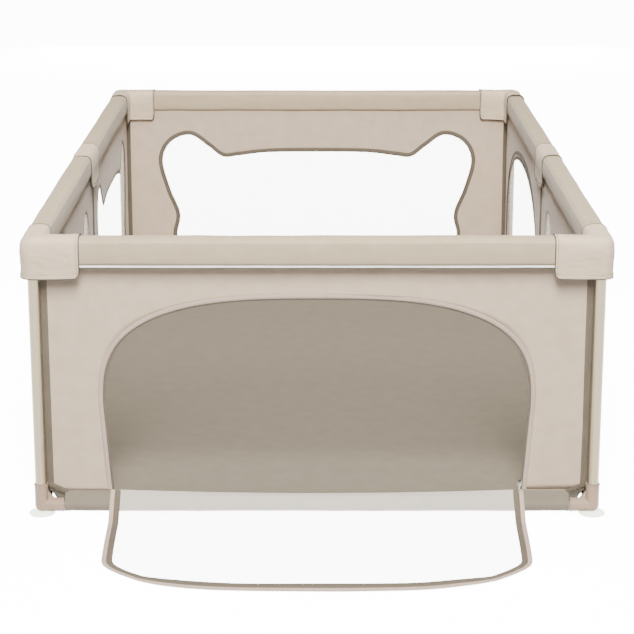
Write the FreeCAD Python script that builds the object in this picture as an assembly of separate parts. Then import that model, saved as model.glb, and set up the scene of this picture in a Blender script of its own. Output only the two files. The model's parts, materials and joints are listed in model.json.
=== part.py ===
"""Playpen with a plug-together tube frame, padded rails, fabric walls and a zip-open front door.

Units are millimetres. +Z is up, the front with the door faces -Y, and the origin is on the floor
at the centre of the pen's footprint. The door is drawn open, lying on the floor.
"""
import FreeCAD
import Part
import math
import os
from FreeCAD import Rotation, Vector

# ---- driving dimensions -------------------------------------------------------------------
frame_width = 1200.0        # over the posts, side to side
frame_depth = 1800.0        # over the posts, front to back
rail_top = 606.0            # top of the padded rail above the floor

tube_d = 25.0               # steel tube of posts and rails
tube_wall = 1.0

fitting_wall = 1.9          # moulded corner and side fittings
fitting_slip = 0.1          # gap between a tube and its socket, all round
fitting_reach = 48.0        # fitting centre to the mouth of a socket
fitting_stop = 16.0         # fitting centre to the bottom of a socket
collar_length = 4.0         # thickened mouth of a socket
collar_rise = 0.6
web_thickness = 4.0         # gusset between two sockets
web_reach = 31.0

cup_d = 56.0                # suction cup under each post
cup_lip = 0.8
cup_height = 4.0            # lip to the underside of the fitting
stud_d = 8.0                # stud that plugs into the fitting
stud_length = 9.0
stud_slip = 0.1

pad_width = 45.0            # padded rail section
pad_height = 54.0
pad_corner = 10.0
cover_wall = 1.2            # fabric cover of the padded rail
foam_gap = 0.2              # foam to cover and foam to tube
pad_gap = 2.0               # fitting mouth to the end of the pad
piping_d = 5.0              # piped seam under the padded rail
piping_grip = 0.6           # how far the piping is sewn into the cover

cap_reach = 98.0            # post centre to the end of a corner cap's arm
cap_wall = 1.5
cap_gap = 0.4               # cap to padded rail
cap_drop = 28.0             # cap hem below the padded rail
cap_corner = 22.0           # outer shoulder, seen from above
side_cap_half = 78.0        # half length of the cap over each side post
side_cap_drop = 24.0

wall_t = 1.2                # the fabric hangs in line with the inner face of the fittings
wall_corner_gap = 3.5       # post to the edge of the wall fabric
wall_side_gap = 8.0         # edge of the fabric to the centre of a side post
corner_rise = 19.0          # height of the lower corner cut away over the fitting

sill_rise = 28.5            # bottom tube to the hinge line of the door, top of the base sleeve
sleeve_t = 1.0              # fabric sleeve round the bottom tube
sleeve_gap = 0.4
seam_r = 1.6                # seam along the top of the sleeve
mat_t = 1.5                 # floor mat
mat_gap = 0.4               # mat upstand to the sleeve seam
cup_clear = 1.0             # mat edge to a suction cup

door_foot_half = 445.0      # doorway half width at the sill
door_half = 459.0           # doorway half width where the arch starts
door_spring_z = 238.0
door_top_z = 478.5
door_power = 2.9            # squareness of the arch
zip_band = 12.0             # binding and zip tape round the doorway
zip_gap = 2.0               # door edge to doorway edge when shut
door_band = 12.0            # zip tape and binding round the door
door_t = 1.6
door_clear = 1.3            # open door to the base sleeve
floor_clear = 0.3           # open door to the floor
fold_gap = 1.0              # between the two panels of the door
notch = (9.0, 26.0)         # door corner cut back beside the parked slider

window_t = 0.8              # window mesh
window_gap = 0.2            # mesh edge to the wall's cut edge
tape_half = 4.5             # half width of the tape round a window
side_tape_half = 10.0       # the wider zip tape round the side arch
tape_t = 0.8
bear_fabric_half = 571.5    # half width of the fabric the window outline is drawn for
side_bear_fabric_half = 583.5
arch_share = 0.8686         # side arch window, as a share of its fabric's width
outline_steps = 28

slider_size = (9.0, 12.0)   # zip slider, width and length
slider_plate = 1.2
slider_clear = 0.4          # plates to the zip
slider_post = 1.2           # part of the slider between the two edges
slider_start = 14.0         # slider centre above the sill, door open
pull_size = (4.0, 20.0)     # pull tab, width and length
pull_t = 1.0
pin_d = 1.8
pin_slip = 0.15
pin_rise = 3.0              # pin above the slider's centre
eye_wall = 0.7              # pull tab's eye round the pin
eye_clear = 0.2             # eye to the slider's plate, all the way round

# ---- worked out from the above ---------------------------------------------------------------
tube_r = tube_d / 2
post_x = (frame_width - tube_d) / 2
post_y = (frame_depth - tube_d) / 2
socket_r = tube_r + fitting_slip
fitting_r = socket_r + fitting_wall
base_z = cup_height + fitting_r                  # centre line of the bottom tubes
sill_z = base_z + sill_rise
wall_inset = fitting_r                           # post centre line to the middle of the fabric
rail_z = rail_top - pad_height / 2               # centre line of the top tubes
pad_bottom = rail_top - pad_height
pad_round = max(wall_inset - pad_width / 2 + pad_corner, 0)  # how far round the pad's edge it is
pad_lift = pad_corner - math.sqrt(pad_corner ** 2 - pad_round ** 2)
piping_z = pad_bottom + pad_lift + piping_grip - piping_d / 2
wall_top = piping_z - piping_d / 2
wall_bottom = sill_z - 1.0
seam_z = wall_bottom - 0.8 - seam_r
sleeve_r = tube_r + sleeve_gap + sleeve_t
corner_cut = (fitting_reach + pad_gap - tube_r - wall_corner_gap, corner_rise)

# each bay: centre x, centre y, turn about Z, half span, kind of post at its low and high end.
# In a bay's own frame x runs along the rail, +y points into the pen.
bays = {
    "front": (0, -post_y, 0, post_x, "corner", "corner"),
    "back": (0, post_y, 180, post_x, "corner", "corner"),
    "left_front": (-post_x, -post_y / 2, -90, post_y / 2, "side", "corner"),
    "left_back": (-post_x, post_y / 2, -90, post_y / 2, "corner", "side"),
    "right_front": (post_x, -post_y / 2, 90, post_y / 2, "corner", "side"),
    "right_back": (post_x, post_y / 2, 90, post_y / 2, "side", "corner"),
}
corners = {
    "front_left": (-1, -1),
    "front_right": (1, -1),
    "back_left": (-1, 1),
    "back_right": (1, 1),
}
sides = {"left": -1, "right": 1}
post_places = {name: (sx * post_x, sy * post_y) for name, (sx, sy) in corners.items()}
post_places.update({f"middle_{name}": (s * post_x, 0) for name, s in sides.items()})

# half of the back window's outline, from the forehead round an ear to the chin: x, z
bear_half = [
    (0, 431), (150, 429), (238, 419), (283, 416), (325, 447), (382, 483), (444, 461), (473, 401),
    (452, 310), (423, 232), (433, 168), (415, 118), (345, 90), (180, 82), (0, 81),
]

os.makedirs("parts", exist_ok=True)


# ---- shape helpers -------------------------------------------------------------------------
def export(name, *solids):
    shape = solids[0] if len(solids) == 1 else Part.makeCompound(list(solids))
    shape.exportStep(f"parts/{name}.step")


def box(x0, y0, z0, x1, y1, z1):
    return Part.makeBox(x1 - x0, y1 - y0, z1 - z0, Vector(x0, y0, z0))


def rod(start, end, radius):
    start = Vector(*start)
    along = Vector(*end) - start
    return Part.makeCylinder(radius, along.Length, start, along)


def pipe(start, end, outer, inner):
    return rod(start, end, outer).cut(rod(start, end, inner))


def bar(half, width, height, radius):
    """A bar along x with its four long edges rounded."""
    block = box(-half, -width / 2, -height / 2, half, width / 2, height / 2)
    long_edges = [e for e in block.Edges if abs(e.Length - 2 * half) < 1e-6]
    return block.makeFillet(radius, long_edges)


def plate(outline, y0, thickness):
    """An upright plate whose outline is a wire in the XZ plane at y = 0."""
    solid = Part.Face(outline).extrude(Vector(0, thickness, 0))
    solid.translate(Vector(0, y0, 0))
    return solid


def polygon(points):
    corners_3d = [Vector(x, 0, z) for x, z in points]
    return Part.makePolygon(corners_3d + corners_3d[:1])


def turned(shape, centre, axis, angle):
    return shape.copy().rotate(Vector(*centre), Vector(*axis), angle)


def into_bay(shape, bay):
    """Takes a shape from a bay's own frame to the pen's frame."""
    x, y, angle = bays[bay][:3]
    placed = turned(shape, (0, 0, 0), (0, 0, 1), angle)
    placed.translate(Vector(x, y, 0))
    return placed


def flipped(shape, normal):
    return shape.mirror(Vector(0, 0, 0), Vector(*normal))


# ---- outlines ------------------------------------------------------------------------------
def grown(points, grow):
    """A closed outline's points moved outwards by grow, each along its own normal."""
    moved = []
    count = len(points)
    for i, (x, z) in enumerate(points):
        before, after = points[i - 1], points[(i + 1) % count]
        tx, tz = after[0] - before[0], after[1] - before[1]
        length = math.hypot(tx, tz)
        moved.append((x - tz / length * grow, z + tx / length * grow))
    return moved


def closed_curve(points):
    curve = Part.BSplineCurve()
    curve.interpolate(Points=[Vector(x, 0, z) for x, z in points], PeriodicFlag=True)
    return Part.Wire(curve.toShape())


def bear_outline(scale):
    """The whole window outline, anticlockwise seen from +y: left half, then right half."""
    left = [(-x * scale, z) for x, z in reversed(bear_half)]
    right = [(x * scale, z) for x, z in bear_half[1:-1]]
    return left + right


def arch_outline(half, low, middle, high):
    """A closed arch: flat-bottomed below its middle height, round above it."""
    points = []
    for i in range(outline_steps):
        angle = 1.5 * math.pi - 2 * math.pi * i / outline_steps
        c, s = math.cos(angle), math.sin(angle)
        power, reach = (2.3, high - middle) if s > 0 else (6.0, middle - low)
        x = half * math.copysign(abs(c) ** (2 / power), c)
        z = middle + reach * math.copysign(abs(s) ** (2 / power), s)
        points.append((x, z))
    return points


def doorway(inset, low):
    """The doorway's outline moved inwards by inset, with its straight foot at height low."""
    half = door_half - inset
    height = door_top_z - inset - door_spring_z
    lean = (door_half - door_foot_half) / (door_spring_z - sill_z)
    foot = half - lean * (door_spring_z - low)
    arch = []
    for i in range(outline_steps + 1):
        angle = math.pi * (1 - i / outline_steps)
        c, s = math.cos(angle), math.sin(angle)
        x = half * math.copysign(abs(c) ** (2 / door_power), c)
        arch.append(Vector(x, 0, door_spring_z + height * abs(s) ** (2 / door_power)))
    top = Part.BSplineCurve()
    top.interpolate(Points=arch)
    lower = [Vector(half, 0, door_spring_z), Vector(foot, 0, low), Vector(-foot, 0, low), arch[0]]
    return Part.Wire([top.toShape()] + Part.makePolygon(lower).Edges)


# ---- frame ---------------------------------------------------------------------------------
def fitting(directions, webs, stud_hole):
    """A moulded fitting centred on the origin with one socket along each direction."""
    body = Part.makeSphere(fitting_r)
    for d in directions:
        mouth = [fitting_reach * c for c in d]
        collar = [(fitting_reach - collar_length) * c for c in d]
        body = body.fuse(rod((0, 0, 0), mouth, fitting_r))
        body = body.fuse(rod(collar, mouth, fitting_r + collar_rise))
    for across, up in webs:
        a, b = Vector(*across), Vector(*up)
        low = fitting_r - 4.0
        tips = [a * low + b * low, a * web_reach + b * low, a * low + b * (web_reach + 4.0)]
        web = Part.Face(Part.makePolygon(tips + tips[:1])).extrude(a.cross(b) * web_thickness)
        web.translate(a.cross(b) * (-web_thickness / 2))
        body = body.fuse(web)
    for d in directions:
        stop = [fitting_stop * c for c in d]
        past = [(fitting_reach + 1) * c for c in d]
        body = body.cut(rod(stop, past, socket_r))
    if stud_hole:
        body = body.cut(rod((0, 0, -fitting_r - 1), (0, 0, -fitting_r + stud_length + 1),
                            stud_d / 2 + stud_slip))
    return body.removeSplitter()


def corner_fitting(sx, sy, up):
    inward_x, inward_y, post = (-sx, 0, 0), (0, -sy, 0), (0, 0, up)
    webs = [(inward_x, post), (inward_y, post)]
    return fitting([inward_x, inward_y, post], webs, up > 0)


def side_fitting(up):
    post = (0, 0, up)
    webs = [((0, 1, 0), post), ((0, -1, 0), post)]
    return fitting([(0, 1, 0), (0, -1, 0), post], webs, up > 0)


def suction_cup():
    """A dished cup with its stud, standing on z = 0."""
    r, dome = cup_d / 2, 9.0
    stud_top = cup_height + stud_length
    section = [
        (0, 1.8), (5.0, 1.8), (r - 2.0, 0), (r, 0), (r, cup_lip), (dome, cup_height - 0.3),
        (stud_d / 2, cup_height - 0.3), (stud_d / 2, stud_top - 1.0), (stud_d / 2 - 1.0, stud_top),
        (0, stud_top),
    ]
    face = Part.Face(polygon(section))
    return face.revolve(Vector(0, 0, 0), Vector(0, 0, 1), 360)


def make_frame():
    lowest, highest = base_z + fitting_stop, rail_z - fitting_stop
    for name, (x, y) in post_places.items():
        export(f"post_{name}", pipe((x, y, lowest), (x, y, highest), tube_r, tube_r - tube_wall))
    for bay, (_, _, _, half, _, _) in bays.items():
        end = half - fitting_stop
        for name, z in (("top_tube", rail_z), ("bottom_tube", base_z)):
            run = pipe((-end, 0, z), (end, 0, z), tube_r, tube_r - tube_wall)
            export(f"{name}_{bay}", into_bay(run, bay))

    top_corners = []
    for name, (sx, sy) in corners.items():
        base = corner_fitting(sx, sy, 1)
        base.translate(Vector(sx * post_x, sy * post_y, base_z))
        export(f"base_fitting_{name}", base)
        top = corner_fitting(sx, sy, -1)
        top.translate(Vector(sx * post_x, sy * post_y, rail_z))
        top_corners.append(top)
    export("top_corner_fittings", *top_corners)
    top_sides = []
    for name, s in sides.items():
        base = side_fitting(1)
        base.translate(Vector(s * post_x, 0, base_z))
        export(f"base_fitting_middle_{name}", base)
        top = side_fitting(-1)
        top.translate(Vector(s * post_x, 0, rail_z))
        top_sides.append(top)
    export("top_side_fittings", *top_sides)
    cups = []
    for x, y in post_places.values():
        cup = suction_cup()
        cup.translate(Vector(x, y, 0))
        cups.append(cup)
    export("suction_cups", *cups)


# ---- padded rails and caps ---------------------------------------------------------------------
def make_rails():
    foams = []
    foam_w, foam_h = pad_width - 2 * cover_wall, pad_height - 2 * cover_wall
    for bay, (_, _, _, half, _, _) in bays.items():
        end = half - fitting_reach - pad_gap
        cover = bar(end, pad_width, pad_height, pad_corner)
        cover = cover.cut(bar(end + 1, foam_w, foam_h, pad_corner - cover_wall))
        cover.translate(Vector(0, 0, rail_z))
        seam = (wall_inset, piping_z)
        piping = rod((-end, *seam), (end, *seam), piping_d / 2)
        export(f"rail_cover_{bay}", into_bay(cover.fuse(piping).removeSplitter(), bay))
        foam = bar(end, foam_w - 2 * foam_gap, foam_h - 2 * foam_gap, pad_corner - cover_wall)
        foam = foam.cut(rod((-end - 1, 0, 0), (end + 1, 0, 0), tube_r + foam_gap))
        foam.translate(Vector(0, 0, rail_z))
        foams.append(into_bay(foam, bay))
    export("rail_foams", *foams)


def cap_block(half_width, reach, corner, low, high):
    """An L-shaped block over a corner; its arms run along +x and +y from the origin."""
    foot = Part.makePolygon([
        Vector(-half_width, -half_width, low), Vector(reach, -half_width, low),
        Vector(reach, half_width, low), Vector(half_width, half_width, low),
        Vector(half_width, reach, low), Vector(-half_width, reach, low),
        Vector(-half_width, -half_width, low),
    ])
    block = Part.Face(foot).extrude(Vector(0, 0, high - low))
    shoulder = [
        e for e in block.Edges
        if all(abs(v.X + half_width) + abs(v.Y + half_width) < 1e-6 for v in e.Vertexes)
    ]
    return block.makeFillet(corner, shoulder)


def make_caps():
    inner = pad_width / 2 + cap_gap
    outer = inner + cap_wall
    top, low = rail_top + cap_gap, pad_bottom - cap_drop
    cap = cap_block(outer, cap_reach, cap_corner, low, top + cap_wall)
    cap = cap.cut(cap_block(inner, cap_reach + 1, cap_corner - cap_wall, low - 1, top))
    for name, (sx, sy) in corners.items():
        placed = cap
        if sx > 0:
            placed = flipped(placed, (1, 0, 0))
        if sy > 0:
            placed = flipped(placed, (0, 1, 0))
        placed = placed.copy()
        placed.translate(Vector(sx * post_x, sy * post_y, 0))
        export(f"corner_cap_{name}", placed)
    low = pad_bottom - side_cap_drop
    for name, s in sides.items():
        x, half = s * post_x, side_cap_half
        shell = box(x - outer, -half, low, x + outer, half, top + cap_wall)
        hollow = box(x - inner, -half - 1, low - 1, x + inner, half + 1, top)
        export(f"middle_cap_{name}", shell.cut(hollow))


# ---- walls, windows, floor -----------------------------------------------------------------------
def wall_ends(bay):
    """Where a bay's fabric stops at its low and its high end, along the bay."""
    half, ends = bays[bay][3], bays[bay][4:]
    stops = [half - (tube_r + wall_corner_gap if e == "corner" else wall_side_gap) for e in ends]
    return -stops[0], stops[1]


def fabric_half(bay):
    low, high = wall_ends(bay)
    return (high - low) / 2


windows = {"back": (bear_outline(fabric_half("back") / bear_fabric_half), tape_half)}
for bay in ("left_front", "left_back", "right_front"):
    windows[bay] = (bear_outline(fabric_half(bay) / side_bear_fabric_half), tape_half)
arch_half = arch_share * fabric_half("right_back")
windows["right_back"] = (arch_outline(arch_half, 84.0, 240.0, 486.0), side_tape_half)


def wall_sheet(bay):
    low, high = wall_ends(bay)
    cut_x, cut_z = corner_cut
    points = [(low, wall_top), (high, wall_top)]
    if bays[bay][5] == "corner":
        points += [(high, wall_bottom + cut_z), (high - cut_x, wall_bottom)]
    else:
        points += [(high, wall_bottom)]
    if bays[bay][4] == "corner":
        points += [(low + cut_x, wall_bottom), (low, wall_bottom + cut_z)]
    else:
        points += [(low, wall_bottom)]
    return plate(polygon(points), wall_inset - wall_t / 2, wall_t)


def window_shift(bay):
    """A side window sits in the middle of its fabric."""
    low, high = wall_ends(bay)
    return (low + high) / 2


def make_walls():
    front = wall_sheet("front")
    hole = plate(doorway(0, wall_bottom - 5), wall_inset - wall_t, 2 * wall_t)
    export("wall_front", into_bay(front.cut(hole), "front"))
    meshes, tapes = {}, []
    for bay, (outline, half_tape) in windows.items():
        shift = Vector(window_shift(bay), 0, 0)
        hole = plate(closed_curve(outline), wall_inset - wall_t, 2 * wall_t)
        hole.translate(shift)
        export(f"wall_{bay}", into_bay(wall_sheet(bay).cut(hole), bay))
        mesh = plate(closed_curve(grown(outline, -window_gap)), wall_inset - window_t / 2, window_t)
        mesh.translate(shift)
        meshes[bay] = into_bay(mesh, bay)
        face_y = wall_inset + wall_t / 2
        tape = plate(closed_curve(grown(outline, half_tape)), face_y, tape_t)
        inside = plate(closed_curve(grown(outline, -half_tape)), face_y - 1, tape_t + 2)
        tape = tape.cut(inside)
        tape.translate(shift)
        tapes.append(into_bay(tape, bay))
    export("window_mesh_back", meshes["back"])
    for side in sides:
        export(f"window_mesh_{side}", meshes[f"{side}_front"], meshes[f"{side}_back"])
    export("window_tapes", *tapes)


def make_floor():
    sleeves = []
    for bay, (_, _, _, half, _, _) in bays.items():
        end = half - fitting_reach - pad_gap
        tube_ring = rod((-end, 0, base_z), (end, 0, base_z), sleeve_r)
        seam = rod((-end, wall_inset, seam_z), (end, wall_inset, seam_z), seam_r)
        rise, run = seam_z - base_z, wall_inset
        reach = math.hypot(rise, run)
        turn = math.acos((sleeve_r - seam_r) / reach)
        heading = math.atan2(rise, run)
        sides_yz = []
        for sign in (1, -1):
            ny, nz = math.cos(heading + sign * turn), math.sin(heading + sign * turn)
            sides_yz.append(((sleeve_r * ny, base_z + sleeve_r * nz),
                             (run + seam_r * ny, seam_z + seam_r * nz)))
        (p0, p1), (p3, p2) = sides_yz
        ring = [Vector(-end, y, z) for y, z in (p0, p1, p2, p3, p0)]
        fold = Part.Face(Part.makePolygon(ring)).extrude(Vector(2 * end, 0, 0))
        sleeve = tube_ring.fuse([seam, fold])
        bore = rod((-end - 1, 0, base_z), (end + 1, 0, base_z), tube_r + sleeve_gap)
        sleeves.append(into_bay(sleeve.cut(bore).removeSplitter(), bay))
    export("base_sleeves", *sleeves)

    edge = wall_inset + seam_r + mat_gap
    half_x, half_y = post_x - edge, post_y - edge
    tray = box(-half_x, -half_y, 0, half_x, half_y, seam_z)
    hollow = box(-half_x + mat_t, -half_y + mat_t, mat_t, half_x - mat_t, half_y - mat_t, sill_z)
    mat = tray.cut(hollow)
    for x, y in post_places.values():
        mat = mat.cut(rod((x, y, -1), (x, y, cup_height + cup_clear), cup_d / 2 + cup_clear))
    export("floor_mat", mat)

    cut_x, cut_z = corner_cut
    ties = []
    for bay in ("front", "back"):
        high = wall_ends(bay)[1]
        strip = [
            (high, wall_bottom + cut_z - 1), (high - cut_x, wall_bottom - 1),
            (high - cut_x, wall_bottom - 8), (high, wall_bottom + cut_z - 8),
        ]
        tie = plate(polygon(strip), wall_inset - wall_t / 2 - 2.2, 1.6)
        ties += [into_bay(tie, bay), into_bay(flipped(tie, (1, 0, 0)), bay)]
    export("corner_ties", *ties)


# ---- door ------------------------------------------------------------------------------------
# The door's lower panel lies on the slope of the base sleeve and its leaf lies on the floor.
sleeve_clear = sleeve_r + door_t / 2 + door_clear
sill_reach = math.hypot(wall_inset, sill_rise)
slope = math.atan2(wall_inset, sill_rise) + math.asin(sleeve_clear / sill_reach)
leaf_z = floor_clear + door_t / 2                       # middle of the leaf on the floor
lower_length = (sill_z - leaf_z) / math.cos(slope)      # sill to the fold
sill_y = wall_inset - post_y
fold_y = sill_y - lower_length * math.sin(slope)
lower_swing = 180 - math.degrees(slope)
leaf_swing = 90.0


def laid_down(shape, is_leaf):
    """Takes a piece of the shut door, upright in the wall's plane, to the open door."""
    if not is_leaf:
        return turned(shape, (0, sill_y, sill_z), (1, 0, 0), lower_swing)
    fold_shut_z = sill_z + lower_length
    laid = turned(shape, (0, sill_y, fold_shut_z), (1, 0, 0), leaf_swing)
    laid.translate(Vector(0, fold_y - sill_y, leaf_z - fold_shut_z))
    return laid


def make_door():
    low = sill_z + fold_gap
    edge = zip_band + zip_gap
    wide = door_half + 10

    def ring(outer, inner, thickness):
        y0 = wall_inset - thickness / 2
        outside = plate(doorway(outer, low), y0, thickness)
        inside = plate(doorway(inner, low - 5), y0 - 1, thickness + 2)
        return outside.cut(inside), outside.common(inside)

    binding, _ = ring(0, zip_band, door_t)
    export("doorway_zip", into_bay(binding, "front"))

    border, _ = ring(edge, edge + door_band, door_t)
    _, mesh = ring(edge, edge + door_band + window_gap, door_t)
    split = sill_z + lower_length
    lower = box(-wide, -50, sill_z, wide, 50, split - fold_gap / 2)
    upper = box(-wide, -50, split + fold_gap / 2, wide, 50, door_top_z + 10)
    notch_x = door_foot_half - edge - notch[0]
    notches = box(notch_x, -50, low - 1, wide, 50, low + notch[1])
    notches = notches.fuse(flipped(notches, (1, 0, 0)))
    pieces = {
        "door_lower_mesh": (mesh.common(lower), False),
        "door_lower_zip": (border.common(lower).cut(notches), False),
        "door_mesh": (mesh.common(upper), True),
        "door_zip": (border.common(upper), True),
    }
    for name, (piece, is_leaf) in pieces.items():
        export(name, laid_down(into_bay(piece, "front"), is_leaf))


def make_slider():
    """The zip slider parked at the right-hand end of the sill, with its pull tab."""
    width, length = slider_size
    half_w, half_l = width / 2, length / 2
    grip = door_t / 2 + slider_clear
    outer = grip + slider_plate
    y = wall_inset
    body = box(-half_w, y - outer, -half_l, half_w, y - grip, half_l)
    body = body.fuse(box(-half_w, y + grip, -half_l, half_w, y + outer, half_l))
    body = body.fuse(box(-slider_post / 2, y - outer, half_l - 3.5, slider_post / 2, y + outer, half_l))
    eye_r = pin_d / 2 + pin_slip + eye_wall
    pin_y, pin_z = y - outer - eye_r - eye_clear, pin_rise
    ear_x = pull_size[0] / 2 + 0.3
    for s in (1, -1):
        ear = box(0, pin_y - 0.9, pin_z - 1.2, 0.9, y - outer, pin_z + 1.2)
        ear.translate(Vector(ear_x if s > 0 else -ear_x - 0.9, 0, 0))
        body = body.fuse(ear)
    body = body.fuse(rod((-ear_x - 0.5, pin_y, pin_z), (ear_x + 0.5, pin_y, pin_z), pin_d / 2))

    pull_w, pull_l = pull_size
    tab = box(-pull_w / 2, pin_y - pull_t / 2, pin_z - pull_l, pull_w / 2, pin_y + pull_t / 2, pin_z)
    eye = rod((-pull_w / 2, pin_y, pin_z), (pull_w / 2, pin_y, pin_z), eye_r)
    tab = tab.fuse(eye)
    tab = tab.cut(rod((-pull_w, pin_y, pin_z), (pull_w, pin_y, pin_z), pin_d / 2 + pin_slip))
    tab = tab.cut(rod((0, pin_y - 5, pin_z - pull_l + 3), (0, pin_y + 5, pin_z - pull_l + 3), 1.1))

    lean = (door_half - door_foot_half) / (door_spring_z - sill_z)
    place_x = door_foot_half + lean * slider_start - zip_band - zip_gap / 2
    for name, shape in (("zip_slider", body), ("zip_pull", tab)):
        tilted = turned(shape, (0, 0, 0), (0, 1, 0), math.degrees(math.atan(lean)))
        tilted.translate(Vector(place_x, 0, sill_z + slider_start))
        export(name, into_bay(tilted.removeSplitter(), "front"))


make_frame()
make_rails()
make_caps()
make_walls()
make_floor()
make_door()
make_slider()
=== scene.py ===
import json
import math
import bmesh
import bpy
from mathutils import Matrix, Vector, noise


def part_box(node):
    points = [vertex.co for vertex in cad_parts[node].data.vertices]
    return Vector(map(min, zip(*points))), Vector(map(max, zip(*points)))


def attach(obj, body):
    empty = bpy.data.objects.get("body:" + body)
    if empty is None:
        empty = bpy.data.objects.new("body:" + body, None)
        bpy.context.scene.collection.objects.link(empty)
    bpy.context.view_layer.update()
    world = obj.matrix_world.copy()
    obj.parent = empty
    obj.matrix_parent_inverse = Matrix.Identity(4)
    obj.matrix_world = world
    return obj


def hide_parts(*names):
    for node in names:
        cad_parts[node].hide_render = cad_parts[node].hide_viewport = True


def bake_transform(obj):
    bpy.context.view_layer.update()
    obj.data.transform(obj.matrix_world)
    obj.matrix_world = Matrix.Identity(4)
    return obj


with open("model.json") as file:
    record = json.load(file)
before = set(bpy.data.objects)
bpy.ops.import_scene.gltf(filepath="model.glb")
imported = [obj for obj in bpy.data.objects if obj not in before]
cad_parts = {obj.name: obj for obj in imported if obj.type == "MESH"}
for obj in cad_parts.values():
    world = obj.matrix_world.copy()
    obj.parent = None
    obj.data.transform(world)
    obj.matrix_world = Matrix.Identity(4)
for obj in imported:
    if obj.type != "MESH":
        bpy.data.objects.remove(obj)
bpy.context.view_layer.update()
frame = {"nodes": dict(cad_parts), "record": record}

# playpen: tube frame, padded rails, cloth walls with mesh windows, and a mesh door lying open
# metres, +Z up, the door faces -Y; sizes come from the frame's own pieces

# places read from the frame
postLow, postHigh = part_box("post_front_right")
postX = (postLow[0] + postHigh[0]) / 2
postY = -(postLow[1] + postHigh[1]) / 2
tubeLow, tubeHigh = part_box("bottom_tube_front")
baseZ = (tubeLow[2] + tubeHigh[2]) / 2
coverLow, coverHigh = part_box("rail_cover_front")
railTop, railHalf = coverHigh[2], coverHigh[0]
padHalf = (coverHigh[1] - coverLow[1]) / 2
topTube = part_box("top_tube_front")
railZ = (topTube[0][2] + topTube[1][2]) / 2
padTall = railTop - railZ
wallLow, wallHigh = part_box("wall_front")
wallInset = (wallLow[1] + wallHigh[1]) / 2 + postY
wallBottom = wallLow[2]
cornerGap = postX - wallHigh[0]
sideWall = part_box("wall_right_front")
middleGap = -sideWall[1][1]
capLow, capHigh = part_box("corner_cap_front_left")
capReach = capHigh[0] + postX
capHalf = -(capLow[0] + postX)
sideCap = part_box("middle_cap_left")
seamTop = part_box("base_sleeves")[1][2]
joints = {j["name"]: j for j in frame["record"]["behaviour"]["joints"]}
sill = Vector(joints["door"]["pos_m"])
fold = Vector(joints["door_fold"]["pos_m"])

# bay: centre x, centre y, turn, half span, post at its low end, post at its high end
bays = {
    "front": (0, -postY, 0, postX, "corner", "corner"),
    "back": (0, postY, 180, postX, "corner", "corner"),
    "left_front": (-postX, -postY / 2, -90, postY / 2, "side", "corner"),
    "left_back": (-postX, postY / 2, -90, postY / 2, "corner", "side"),
    "right_front": (postX, -postY / 2, 90, postY / 2, "corner", "side"),
    "right_back": (postX, postY / 2, 90, postY / 2, "side", "corner"),
}


def bayMatrix(bay):
    x, y, turn = bays[bay][:3]
    return Matrix.Translation((x, y, 0)) @ Matrix.Rotation(math.radians(turn), 4, "Z")


def wallEnds(bay):
    half = bays[bay][3]
    ends = [half - (cornerGap if e == "corner" else middleGap) for e in bays[bay][4:]]
    return -ends[0], ends[1]


# materials
def linear(hexColour):
    parts = [int(hexColour[i:i + 2], 16) / 255 for i in (1, 3, 5)]
    return [c / 12.92 if c <= 0.04045 else ((c + 0.055) / 1.055) ** 2.4 for c in parts] + [1]


def addNode(tree, kind, settings=None, links=None):
    node = tree.nodes.new(kind)
    for key, value in (settings or {}).items():
        if isinstance(key, str) and hasattr(node, key):
            setattr(node, key, value)
        else:
            node.inputs[key].default_value = value
    for key, source in (links or {}).items():
        tree.links.new(source, node.inputs[key])
    return node


def newMaterial(name):
    material = bpy.data.materials.new(name)
    material.use_nodes = True
    tree = material.node_tree
    return material, tree, tree.nodes["Principled BSDF"]


def ramp(tree, source, stops):
    node = addNode(tree, "ShaderNodeValToRGB", links={"Fac": source})
    elements = node.color_ramp.elements
    for i, (place, colour) in enumerate(stops):
        element = elements[i] if i < 2 else elements.new(place)
        element.position = place
        element.color = linear(colour)
    return node.outputs["Color"]


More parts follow.
